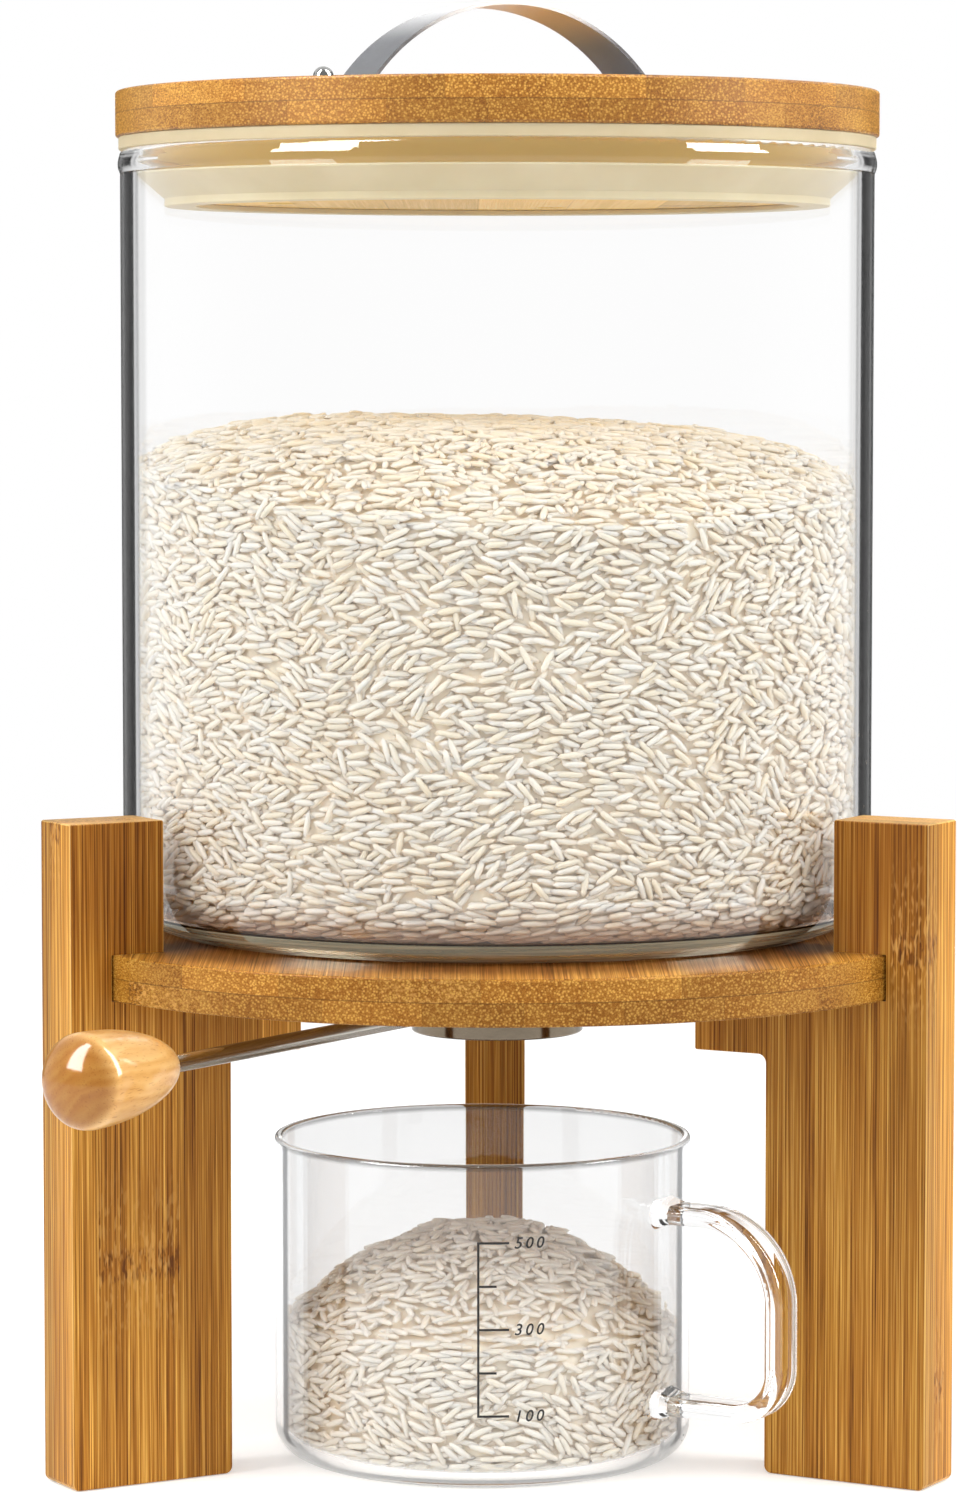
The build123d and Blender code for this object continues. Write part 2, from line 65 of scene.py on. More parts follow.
knuckle_layer_step = 0.27
knuckle_half_height = 0.0038
knuckle_ragged = 0.007
knuckle_tick_size = (0.0008, 0.0008, 0.0035)
knuckle_curl_reach = 0.03
knuckle_curl_size = (0.0009, 0.0009, 0.004)
grain_relief = 0.0004
fibre_tones = [
    (0.39, (98, 54, 14)),
    (0.46, (164, 105, 32)),
    (0.53, (197, 137, 52)),
    (0.61, (236, 185, 92)),
]
narrow_face_tone = (206, 136, 30)
cut_face_tone = (146, 88, 22)
bundle_tone = (164, 116, 66)
# Colour of the pale end-grain dots: fibre ends, partly painted glints.
dot_and_glint_tone = (234, 180, 86)
# Colour of the painted light laid over the lid's plug.
painted_light_tone = (252, 214, 106)
# Colour of the painted shade on the posts.
post_shade_tone = (196, 178, 150)
# Colour of the painted highlight on the legs' eased vertical edges.
arris_highlight_tone = (244, 202, 128)
leg_end_tone = (232, 188, 118)
# Colour of the painted contact shadow on the platform top.
contact_shadow_tone = (128, 94, 62)
joint_tone = (110, 70, 34)
tick_tone = (120, 74, 34)
band_tone = (200, 150, 100)
curl_tone = (226, 172, 92)


def srgb(red, green, blue):
    """A colour given in screen values, as the shader takes it."""
    picked = Color((red / 255, green / 255, blue / 255)).from_srgb_to_scene_linear()
    return (*picked, 1.0)


def feed(tree, node, sockets):
    """Sets a node's sockets, each from a plain value or from another node's output."""
    for key, value in sockets.items():
        if isinstance(value, bpy.types.NodeSocket):
            tree.links.new(value, node.inputs[key])
        else:
            node.inputs[key].default_value = value


def add_node(tree, kind, sockets=None, **settings):
    """Adds a shader node with its settings and its sockets."""
    node = tree.nodes.new("ShaderNode" + kind)
    for key, value in settings.items():
        setattr(node, key, value)
    feed(tree, node, sockets or {})
    return node


def calc(tree, operation, *values):
    """One sum of the Math node."""
    return add_node(tree, "Math", dict(enumerate(values)), operation=operation).outputs[0]


def vector_calc(tree, operation, *values):
    """One sum of the Vector Math node."""
    return add_node(tree, "VectorMath", dict(enumerate(values)), operation=operation).outputs[0]


def fade(tree, value, start, end, low=0.0, high=1.0):
    """Goes smoothly from low to high while the value goes from start to end."""
    span = {"Value": value, "From Min": start, "From Max": end, "To Min": low, "To Max": high}
    return add_node(tree, "MapRange", span, interpolation_type="SMOOTHSTEP").outputs[0]


def blend(tree, kind, share, under, over):
    """Lays one colour over another."""
    layers = {0: share, 6: under, 7: over}
    return add_node(tree, "Mix", layers, data_type="RGBA", blend_type=kind).outputs[2]


def ramp(tree, value, stops):
    """A colour ramp through stops of (place, colour)."""
    node = add_node(tree, "ValToRGB", {0: value})
    elements = node.color_ramp.elements
    while len(elements) < len(stops):
        elements.new(1.0)
    for element, (place, colour) in zip(elements, stops):
        element.position = place
        element.color = colour
    return node.outputs[0]


def noise(tree, vector, detail, roughness):
    """Soft noise with features about one unit wide."""
    settings = {"Vector": vector, "Scale": 1.0, "Detail": detail, "Roughness": roughness}
    return add_node(tree, "TexNoise", settings).outputs[0]


def new_finish(name):
    """A new material, its node tree and its main shader."""
    finish = bpy.data.materials.new(name)
    finish.use_nodes = True
    return finish, finish.node_tree, finish.node_tree.nodes["Principled BSDF"]


def dress(finish, *names):
    """Gives a finish to pieces of the frame."""
    for name in names:
        nodes[name].data.materials.clear()
        nodes[name].data.materials.append(finish)


def bamboo(
    name, centre, turn, layers, strips, knuckle_place, tone=1.0, gloss=0.06, coat_blur=0.2, painted_light=0.0,
    edge_lift=0.4, shade_posts_from=None, contact_shadow=None,
):
    """Laminated bamboo. On the board X runs across the strips, Y through the layers, Z along the fibres."""
    finish, tree, shader = new_finish(name)
    coordinates = add_node(tree, "TexCoord").outputs
    placing = {"Vector": coordinates["Object"], "Location": centre, "Rotation": turn}
    board = add_node(tree, "Mapping", placing, vector_type="TEXTURE").outputs[0]
    across, through, along = add_node(tree, "SeparateXYZ", {0: board}).outputs
    facing = {"Vector": coordinates["Normal"], "Rotation": turn}
    facing = add_node(tree, "Mapping", facing, vector_type="TEXTURE").outputs[0]
    facing = add_node(tree, "SeparateXYZ", {0: facing}).outputs
    edge_face = fade(tree, calc(tree, "ABSOLUTE", facing["X"]), 0.6, 0.95)
    cut_face = fade(tree, calc(tree, "ABSOLUTE", facing["Z"]), 0.55, 0.85)

    layer_place = calc(tree, "MULTIPLY_ADD", through, 1 / layers["height"], layers["shift"])
    layer = calc(tree, "FLOOR", layer_place)
    strip_start = calc(tree, "MULTIPLY_ADD", layer, strip_stagger, strips["shift"])
    strip_place = calc(tree, "MULTIPLY_ADD", across, 1 / strips["width"], strip_start)
    strip = calc(tree, "FLOOR", strip_place)
    strip_key = add_node(tree, "CombineXYZ", {"X": strip, "Y": layer}).outputs[0]
    chance = add_node(tree, "TexWhiteNoise", {"Vector": strip_key})
    jump = vector_calc(tree, "MULTIPLY", chance.outputs["Color"], (strip_jump, strip_jump, strip_jump))

    def stretched(size):
        """The place on the board in units of a size, with a jump from strip to strip."""
        scale = tuple(1 / length for length in size)
        return vector_calc(tree, "MULTIPLY_ADD", board, scale, jump)

    def cells(size):
        """The distance to the nearest of many scattered points."""
        settings = {"Vector": stretched(size), "Scale": 1.0}
        return add_node(tree, "TexVoronoi", settings).outputs["Distance"]

    streak = noise(tree, stretched(fibre_size), 2.0, 0.6)
    hair = noise(tree, stretched(hair_size), 2.0, 0.6)
    cloud = noise(tree, stretched(cloud_size), 2.0, 0.5)
    bundle_mark = fade(tree, cells(bundle_size), 0.12, 0.45, 1.0, 0.0)
    dot_mark = fade(tree, cells(dot_size), 0.12, 0.58, 1.0, 0.0)

    grain = calc(tree, "MULTIPLY_ADD", hair, 0.4, calc(tree, "MULTIPLY", streak, 0.4))
    grain = calc(tree, "MULTIPLY_ADD", cloud, 0.2, grain)
    colour = ramp(tree, grain, [(place, srgb(*picked)) for place, picked in fibre_tones])
    lifted = blend(tree, "SCREEN", edge_lift, colour, srgb(*narrow_face_tone))
    colour = blend(tree, "MIX", calc(tree, "MULTIPLY", edge_face, 0.6), colour, lifted)
    colour = blend(tree, "MIX", calc(tree, "MULTIPLY", cut_face, 0.6), colour, srgb(*cut_face_tone))
    streak_share = calc(tree, "MULTIPLY", bundle_mark, fade(tree, cut_face, 0.0, 1.0, 0.4, 0.0))
    colour = blend(tree, "MULTIPLY", streak_share, colour, srgb(*bundle_tone))
    # Pale dots on the cut ends: the fibre ends, partly painted glints.
    dot_and_glint_share = calc(tree, "MULTIPLY", dot_mark, calc(tree, "MULTIPLY", cut_face, 0.8))
    colour = blend(tree, "MIX", dot_and_glint_share, colour, srgb(*dot_and_glint_tone))
    # Painted light: a pale golden tone laid over the whole surface, used on the plug.
    colour = blend(tree, "MIX", painted_light, colour, srgb(*painted_light_tone))
    # Painted shade: the wide faces of the posts above the platform are darkened.
    if shade_posts_from:
        upright = add_node(tree, "SeparateXYZ", {0: coordinates["Object"]}).outputs["Z"]
        painted_post_shade = fade(tree, upright, shade_posts_from - post_shade_blend, shade_posts_from + post_shade_blend)
        painted_post_shade = calc(tree, "MULTIPLY", painted_post_shade, fade(tree, edge_face, 0.0, 1.0, 0.8, 0.0))
        painted_post_shade = calc(tree, "MULTIPLY", painted_post_shade, fade(tree, cut_face, 0.0, 1.0, 1.0, 0.0))
        colour = blend(tree, "MULTIPLY", painted_post_shade, colour, srgb(*post_shade_tone))
        # Painted highlight: the eased vertical edges of the legs are lightened.
        sideways = calc(tree, "ABSOLUTE", facing["X"])
        arris_highlight = fade(tree, sideways, 0.85, 0.97, 0.6, 0.0)
        arris_highlight = calc(tree, "MULTIPLY", arris_highlight, fade(tree, sideways, 0.25, 0.6))
        colour = blend(tree, "MIX", arris_highlight, colour, srgb(*arris_highlight_tone))
        colour = blend(tree, "MIX", calc(tree, "MULTIPLY", cut_face, 0.5), colour, srgb(*leg_end_tone))
    # Painted shadow: the upward faces are darkened near the jar's foot.
    if contact_shadow:
        level = vector_calc(tree, "MULTIPLY", coordinates["Object"], (1, 1, 0))
        reach = add_node(tree, "VectorMath", {0: level}, operation="LENGTH").outputs["Value"]
        upward = add_node(tree, "SeparateXYZ", {0: coordinates["Normal"]}).outputs["Z"]
        shadowed_top = calc(tree, "MULTIPLY", fade(tree, reach, *contact_shadow, 0.8, 0.0), fade(tree, upward, 0.5, 0.9))
        colour = blend(tree, "MULTIPLY", shadowed_top, colour, srgb(*contact_shadow_tone))
    tint = fade(tree, chance.outputs["Value"], 0.0, 1.0, 0.78 * tone, 1.16 * tone)
    colour = add_node(tree, "HueSaturation", {"Value": tint, "Color": colour}).outputs[0]

    def joint(position, size):
        """How far a glued joint shows at a place."""
        edge = calc(tree, "PINGPONG", position, 0.5)
        return fade(tree, edge, joint_width / size / 2, joint_width / size, 1.0, 0.0)

    strip_joint = joint(strip_place, strips["width"])
    layer_joint = joint(layer_place, layers["height"])
    joints = calc(tree, "MULTIPLY", strip_joint, 0.2)
    joints = calc(tree, "MULTIPLY_ADD", layer_joint, layers["line"], joints)
    colour = blend(tree, "MULTIPLY", joints, colour, srgb(*joint_tone))

    knuckle_step = calc(
        tree, "MULTIPLY_ADD", layer, knuckle_layer_step, 0.5 - knuckle_place / knuckle_spacing
    )
    knuckle_step = calc(tree, "MULTIPLY_ADD", strip, knuckle_strip_step, knuckle_step)
    knuckle_phase = calc(tree, "MULTIPLY_ADD", along, 1 / knuckle_spacing, knuckle_step)
    knuckle_phase = calc(tree, "SUBTRACT", calc(tree, "FRACT", knuckle_phase), 0.5)
    above = calc(tree, "MULTIPLY", knuckle_phase, knuckle_spacing)
    tick = noise(tree, stretched(knuckle_tick_size), 2.0, 0.5)
    ragged = calc(tree, "MULTIPLY_ADD", calc(tree, "SUBTRACT", tick, 0.5), knuckle_ragged, above)
    ragged = calc(tree, "ABSOLUTE", ragged)
    band = fade(tree, ragged, knuckle_half_height * 0.7, knuckle_half_height * 1.3, 1.0, 0.0)
    tick_mark = calc(tree, "MULTIPLY", fade(tree, tick, 0.47, 0.6), band)
    colour = blend(tree, "MULTIPLY", calc(tree, "MULTIPLY", tick_mark, 0.6), colour, srgb(*tick_tone))
    colour = blend(tree, "MULTIPLY", calc(tree, "MULTIPLY", band, 0.2), colour, srgb(*band_tone))
    curl = noise(tree, stretched(knuckle_curl_size), 1.0, 0.5)
    curl_band = fade(tree, calc(tree, "ABSOLUTE", above), 0.0, knuckle_curl_reach, 0.5, 0.0)
    curl_mark = calc(tree, "MULTIPLY", fade(tree, curl, 0.5, 0.66), curl_band)
    colour = blend(tree, "MIX", curl_mark, colour, srgb(*curl_tone))

    height = calc(tree, "SUBTRACT", grain, calc(tree, "MULTIPLY", bundle_mark, 0.3))
    height = calc(tree, "SUBTRACT", height, calc(tree, "MULTIPLY", tick_mark, 0.8))
    relief = {"Strength": 0.3, "Distance": grain_relief, "Height": height}
    bump = add_node(tree, "Bump", relief).outputs[0]
    feed(tree, shader, {
        "Base Color": colour,
        "Roughness": fade(tree, grain, 0.38, 0.64, 0.5, 0.38),
        "Normal": bump,
        "Specular IOR Level": 0.15,
        "Coat Weight": gloss,
        "Coat Roughness": coat_blur,
    })
    return finish


def middle(name):
    """The middle of a piece of the frame."""
    low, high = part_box(name)
    return (low + high) / 2


for leg_name, azimuth in leg_azimuths.items():
    dress(bamboo(
        "bamboo_" + leg_name, middle(leg_name), (0, 0, radians(azimuth)),
        leg_layers, leg_strips, leg_knuckles[leg_name],
        tone=leg_tones[leg_name], edge_lift=leg_edge_lift, shade_posts_from=post_shade_start,
    ), leg_name)


# Platform: the bamboo disc that carries the jar, pressed from two layers of strips that run front to back.
# Its rim is turned round and lightly eased, so that its front and back show the cut ends of the fibres.
# A painted shadow darkens its top under the jar and just round it.
disc_turn = (radians(90), 0, 0)
disc_layers = {"height": 0.0063, "shift": 0.0, "line": 0.5}
disc_strips = {"width": 0.025, "shift": 0.2}
platform_knuckle = 0.045
platform_gloss = 0.12
platform_blur = 0.4
platform_contact_shadow = (0.1, 0.117)
platform_tone = 0.88

dress(bamboo(
    "bamboo_platform", middle("platform"), disc_turn,
    disc_layers, disc_strips, platform_knuckle,
    tone=platform_tone, gloss=platform_gloss, coat_blur=platform_blur, contact_shadow=platform_contact_shadow,
), "platform")


# Leg screws: plated steel pan heads with a hexagon socket, sunk in the arms of the legs.
# They are driven up from below, so only their heads show.
screw_scuff = 0.0006
smudge_scale = (90, 90, 90)
scratch_relief = 0.0001
# Colour of the painted highlight on the strap's crest.
crest_highlight_tone = (250, 250, 250)


def steel(
    name, tone, roughness, turn, scratch_width, scratch_length, anisotropy,
    metal=1.0, under=None, crest_highlight=None,
):
    """Bare metal with fine scratches along its own X axis."""
    finish, tree, shader = new_finish(name)
    coordinates = add_node(tree, "TexCoord").outputs
    place = coordinates["Object"]
    turned = {"Vector": place, "Rotation": turn}
    turned = add_node(tree, "Mapping", turned, vector_type="TEXTURE").outputs[0]
    scale = (1 / scratch_length, 1 / scratch_width, 1 / scratch_width)
    scratch = noise(tree, vector_calc(tree, "MULTIPLY", turned, scale), 3.0, 0.6)
    smudge = noise(tree, vector_calc(tree, "MULTIPLY", place, smudge_scale), 3.0, 0.5)
    worn = calc(tree, "MULTIPLY_ADD", smudge, 0.3, calc(tree, "MULTIPLY", scratch, 0.7))
    dull = tuple(part * 0.86 for part in tone[:3]) + (1.0,)
    colour = ramp(tree, scratch, [(0.3, dull), (0.7, tone)])
    # Downward faces get their own tint; on the strap it is painted blue-grey against the lid's brown
    # reflection.
    if under:
        downward = add_node(tree, "SeparateXYZ", {0: coordinates["Normal"]}).outputs["Z"]
        colour = blend(tree, "MIX", fade(tree, downward, -0.1, -0.4), colour, under)
    # Painted highlight: near white laid over the top of the part.
    if crest_highlight:
        upright = add_node(tree, "SeparateXYZ", {0: place}).outputs["Z"]
        colour = blend(tree, "MIX", fade(tree, upright, *crest_highlight), colour, srgb(*crest_highlight_tone))
    relief = {"Strength": 0.12, "Distance": scratch_relief, "Height": scratch}
    bump = add_node(tree, "Bump", relief).outputs[0]
    feed(tree, shader, {
        "Base Color": colour,
        "Metallic": metal,
        "Roughness": fade(tree, worn, 0.3, 0.7, roughness * 0.75, roughness * 1.3),
        "Anisotropic": anisotropy,
        "Normal": bump,
    })
    return finish


plated_steel = steel("plated_steel", srgb(204, 204, 200), 0.28, (0, 0, 0), screw_scuff, screw_scuff, 0.0)
dress(plated_steel, "leg_screws", "sleeve_screws")


# Outlet: a spun steel sleeve with a flange and a punched port plate, screwed up under the platform.
# The pin, washer and nut in the middle carry the turning shutter.
spin_width = 0.0004
spin_length = 0.012
spun_steel = steel("spun_steel", srgb(206, 204, 200), 0.24, (0, 0, 0), spin_width, spin_length, 0.0)
dress(spun_steel, "outlet_sleeve", "port_plate", "pivot_washer")
dress(plated_steel, "pivot_pin", "pivot_nut")


# Shutter and lever: a drawn steel ring that turns under the port plate, with a ground rod in its boss.
# The rod is screwed in, and a thin nut locks it.
lever_turn = (0, 0, radians(237))
grind_width = 0.00025
grind_length = 0.02
ring_mark = 0.004
ground_steel = steel("ground_steel", srgb(172, 166, 156), 0.14, lever_turn, grind_width, grind_length, 0.4)
# Painted shade: this ring's steel is darker and browner than the rest, for the shade under the platform.
ring_steel_painted_shade = steel("ring_steel_painted_shade", srgb(128, 116, 100), 0.12, (0, 0, 0), ring_mark, ring_mark, 0.0)
dress(ring_steel_painted_shade, "shutter_ring")
dress(ground_steel, "lever_rod")
dress(plated_steel, "lever_lock_nut")


# Knob: a turned egg of pale hardwood under a clear gloss lacquer, with a brass thread set in its inner end.
# The fibres run along the lever, so fine dark pores lie lengthwise and the outer end shows them cut across.
ring_gap = 0.0031
pore_size = (0.0032, 0.0004, 0.0004)
mottle_size = (0.02, 0.007, 0.007)
ring_middle = (0.0, 0.014, -0.02)
ring_stretch = (0.12, 1, 1)
pore_relief = 0.0002


def turned_wood(name, centre, turn):
    """Lacquered hardwood with its fibres along its own X axis."""
    finish, tree, shader = new_finish(name)
    coordinates = add_node(tree, "TexCoord").outputs
    placing = {"Vector": coordinates["Object"], "Location": centre, "Rotation": turn}
    block = add_node(tree, "Mapping", placing, vector_type="TEXTURE").outputs[0]
    facing = {"Vector": coordinates["Normal"], "Rotation": turn}
    facing = add_node(tree, "Mapping", facing, vector_type="TEXTURE").outputs[0]
    end_face = fade(tree, add_node(tree, "SeparateXYZ", {0: facing}).outputs["X"], 0.35, 0.85)
    mottle = noise(tree, vector_calc(tree, "DIVIDE", block, mottle_size), 3.0, 0.5)
    pore = noise(tree, vector_calc(tree, "DIVIDE", block, pore_size), 2.0, 0.55)
    heart = vector_calc(tree, "MULTIPLY", vector_calc(tree, "SUBTRACT", block, ring_middle), ring_stretch)
    from_heart = add_node(tree, "VectorMath", {0: heart}, operation="LENGTH").outputs["Value"]
    ring = calc(tree, "MULTIPLY_ADD", from_heart, 1 / ring_gap, calc(tree, "MULTIPLY", mottle, 2.2))
    ring = calc(tree, "PINGPONG", ring, 0.5)
    shade = calc(tree, "MULTIPLY_ADD", ring, 0.35, calc(tree, "MULTIPLY", mottle, 0.65))
    colour = ramp(tree, shade, [
        (0.25, srgb(216, 158, 86)),
        (0.42, srgb(230, 176, 104)),
        (0.6, srgb(240, 194, 126)),
    ])
    pore_mark = fade(tree, pore, 0.58, 0.72, 0.0, 0.4)
    colour = blend(tree, "MULTIPLY", pore_mark, colour, srgb(170, 112, 58))
    colour = blend(tree, "MULTIPLY", calc(tree, "MULTIPLY", end_face, 0.9), colour, srgb(182, 154, 90))
    relief = {"Strength": 0.06, "Distance": pore_relief, "Height": pore}
    bump = add_node(tree, "Bump", relief).outputs[0]
    feed(tree, shader, {
        "Base Color": colour,
        "Roughness": fade(tree, pore, 0.3, 0.7, 0.32, 0.42),
        "Normal": bump,
        "Specular IOR Level": 0.1,
        "Coat Weight": 0.75,
        "Coat Roughness": 0.1,
    })
    return finish


dress(turned_wood("knob_wood", middle("knob"), lever_turn), "knob")
brass = steel("turned_brass", srgb(206, 170, 96), 0.25, lever_turn, grind_width, grind_length, 0.0)
dress(brass, "knob_insert")


# Jar: a blown borosilicate cylinder with a fire-polished rim, a rounded base and a drilled outlet hole.
# It stands loose on the platform. Painted shade darkens its wall only where it is looked at edge on,
# and its thick base corner carries a painted pale ring of light and a painted pinkish reflection.
glass_bend = 1.47
wall_band = 0.0016
jar_radius = 0.1
# Painted shade: the wall colour by how edge on it is seen, dark bands with one paler painted line.
jar_edge_painted_shade = [
    (0.0, (1.0, 1.0, 1.0, 1.0)),
    (0.69, (0.98, 0.98, 0.98, 1.0)),
    (0.705, (0.35, 0.35, 0.35, 1.0)),
    (0.72, (0.5, 0.5, 0.5, 1.0)),
    (0.732, (0.7, 0.7, 0.7, 1.0)),
    (0.744, (0.01, 0.01, 0.01, 1.0)),
    (0.775, (0.004, 0.004, 0.004, 1.0)),
    (0.81, (0.015, 0.015, 0.015, 1.0)),
    (0.85, (0.04, 0.04, 0.04, 1.0)),
    (0.88, (0.18, 0.18, 0.18, 1.0)),
    (0.95, (0.25, 0.25, 0.25, 1.0)),
]
# Base corner zone that carries a painted pink reflection and a painted pale ring of light.
jar_foot = {"bottom": 0.1384, "ring": 0.1436, "top": 0.152, "streaks": (22, 22, 1400)}
trapped_after = 9


def clear_glass(name, axis, radius, edge, shades=(), inside=None, foot=None):
    """Clear glass letting lamp light through to what it holds; painted shade darkens its outer wall edge
    on.
    """
    finish, tree, shader = new_finish(name)
    coordinates = add_node(tree, "TexCoord").outputs
    from_axis = vector_calc(tree, "SUBTRACT", coordinates["Object"], axis)
    level = vector_calc(tree, "MULTIPLY", from_axis, (1, 1, 0))
    reach = add_node(tree, "VectorMath", {0: level}, operation="LENGTH").outputs["Value"]
    off_wall = calc(tree, "ABSOLUTE", calc(tree, "SUBTRACT", reach, radius))
    on_wall = fade(tree, off_wall, wall_band * 0.5, wall_band, 1.0, 0.0)
    outward = vector_calc(tree, "NORMALIZE", level)
    turned_out = {0: outward, 1: coordinates["Normal"]}
    turned_out = add_node(tree, "VectorMath", turned_out, operation="DOT_PRODUCT").outputs["Value"]
    on_wall = calc(tree, "MULTIPLY", on_wall, fade(tree, turned_out, 0.93, 0.99))
    facing = add_node(tree, "LayerWeight", {"Blend": 0.5}).outputs["Facing"]
    # Painted shade: the outer wall's colour follows the edge ramp, darker edge on.
    colour = blend(tree, "MIX", on_wall, (1.0, 1.0, 1.0, 1.0), ramp(tree, facing, edge))
    upright = add_node(tree, "SeparateXYZ", {0: from_axis}).outputs["Z"]
    # Painted shade: darker bands above given heights, on the cup's rim.
    for start, end, shade in shades:
        painted_band = fade(tree, upright, start, end)
        colour = blend(tree, "MULTIPLY", painted_band, colour, (shade, shade, shade, 1.0))
    # Painted reflection: the inner wall greys what is seen through it.
    if inside:
        inner_radius, shade = inside
        off_inner = calc(tree, "ABSOLUTE", calc(tree, "SUBTRACT", reach, inner_radius))
        painted_inner = fade(tree, off_inner, wall_band * 0.3, wall_band * 0.6, 1.0, 0.0)
        painted_inner = calc(tree, "MULTIPLY", painted_inner, fade(tree, turned_out, -0.9, -0.98))
        colour = blend(tree, "MULTIPLY", painted_inner, colour, (shade, shade, shade, 1.0))
    feed(tree, shader, {
        "Base Color": colour,
        "Roughness": 0.0,
        "IOR": glass_bend,
        "Transmission Weight": 1.0,
    })
    if foot:
        steep = add_node(tree, "SeparateXYZ", {0: coordinates["Normal"]}).outputs["Z"]
        steep = calc(tree, "ABSOLUTE", steep)
        curved = fade(tree, steep, 0.95, 0.99, 1.0, 0.0)
        curved = calc(tree, "MULTIPLY", curved, fade(tree, steep, 0.05, 0.2))
        curved = calc(tree, "MULTIPLY", curved, calc(tree, "GREATER_THAN", upright, foot["bottom"]))
        curved = calc(tree, "MULTIPLY", curved, fade(tree, upright, foot["ring"], foot["top"], 1.0, 0.0))
        level_out = {0: outward, "Scale": calc(tree, "SIGN", turned_out)}
        level_out = add_node(tree, "VectorMath", level_out, operation="SCALE").outputs[0]
        leaning = {"Factor": curved, 4: coordinates["Normal"], 5: level_out}
        leaning = add_node(tree, "Mix", leaning, data_type="VECTOR").outputs[1]
        # Painted reflection: the curved base corner is tinted pink, for the wood reflected in it.
        colour = blend(tree, "MULTIPLY", curved, colour, srgb(240, 222, 206))
        # Painted light: the lower ring is pale and less clear, for the light the thick glass carries to its
        # edge.
        on_ring = calc(tree, "MULTIPLY", curved, calc(tree, "LESS_THAN", upright, foot["ring"]))
        on_ring = calc(tree, "MULTIPLY", on_ring, calc(tree, "GREATER_THAN", turned_out, 0.0))
        streak = noise(tree, vector_calc(tree, "MULTIPLY", from_axis, foot["streaks"]), 2.0, 0.5)
        ring_painted_light = fade(tree, streak, 0.4, 0.6, 0.75, 0.4)
        feed(tree, shader, {
            "Base Color": blend(tree, "MIX", on_ring, colour, srgb(214, 206, 176)),
            "Metallic": calc(tree, "MULTIPLY", on_ring, fade(tree, streak, 0.35, 0.65, 0.05, 0.3)),
            "Transmission Weight": calc(tree, "SUBTRACT", 1.0, calc(tree, "MULTIPLY", on_ring, ring_painted_light)),
            "Normal": vector_calc(tree, "NORMALIZE", leaning),
        })
    rays = add_node(tree, "LightPath").outputs
    lit = calc(tree, "MAXIMUM", rays["Is Shadow Ray"], rays["Is Diffuse Ray"])
    lit = calc(tree, "MAXIMUM", lit, calc(tree, "GREATER_THAN", rays["Ray Depth"], trapped_after))
    open_air = add_node(tree, "BsdfTransparent", {"Color": (0.97, 0.975, 0.97, 1.0)}).outputs[0]
    both = add_node(tree, "MixShader", {0: lit, 1: shader.outputs[0], 2: open_air}).outputs[0]
    feed(tree, tree.nodes["Material Output"], {"Surface": both})
    return finish


dress(clear_glass("jar_glass", (0, 0, 0), jar_radius, jar_edge_painted_shade, foot=jar_foot), "glass_jar")


# Grommet and seal: cream silicone, moulded in one piece each. The grommet lines the jar's outlet hole.
# The seal wraps the lid's plug and its fin closes against the glass. Its neck is amber, partly from the
# wood under it and partly painted warm light.
mould_cloud = 0.02
neck_bottom = 0.3392
neck_radius = 0.0915
flange_bottom = 0.345
neck_blend = 0.002
neck_edge = 0.001
flange_edge = 0.0006


def silicone(name):
    """Cream rubber, faintly bloomed; painted light on its neck over the wood, painted shade on its flange.
    """
    finish, tree, shader = new_finish(name)
    place = add_node(tree, "TexCoord").outputs["Object"]
    scale = (1 / mould_cloud, 1 / mould_cloud, 1 / mould_cloud)
    cloud = noise(tree, vector_calc(tree, "MULTIPLY", place, scale), 4.0, 0.6)
    colour = ramp(tree, cloud, [(0.3, srgb(218, 202, 164)), (0.7, srgb(228, 214, 180))])
    level = vector_calc(tree, "MULTIPLY", place, (1, 1, 0))
    reach = add_node(tree, "VectorMath", {0: level}, operation="LENGTH").outputs["Value"]
    # Neck tone: partly the wood under the rubber, partly painted warm bounce light.
    neck_wood_and_bounce = fade(tree, reach, neck_radius, neck_radius + neck_blend, 1.0, 0.0)
    upright = add_node(tree, "SeparateXYZ", {0: place}).outputs["Z"]
    neck_wood_and_bounce = calc(tree, "MULTIPLY", neck_wood_and_bounce, fade(tree, upright, neck_bottom - neck_edge, neck_bottom))
    colour = blend(tree, "MIX", calc(tree, "MULTIPLY", neck_wood_and_bounce, 0.85), colour, srgb(252, 214, 112))
    # Painted shade: the flange top, which the lamps light most, is darkened.
    flange_painted_shade = fade(tree, upright, flange_bottom - flange_edge, flange_bottom, 0.0, 0.8)
    colour = blend(tree, "MULTIPLY", flange_painted_shade, colour, srgb(226, 222, 218))
    feed(tree, shader, {
        "Base Color": colour,
        "Roughness": fade(tree, cloud, 0.3, 0.7, 0.42, 0.54),
        "Specular IOR Level": 0.35,
        "Subsurface Weight": 0.25,
        "Subsurface Radius": (0.004, 0.003, 0.0018),
        "Subsurface Scale": 1.0,
    })
    return finish


dress(silicone("cream_silicone"), "outlet_grommet", "lid_seal")


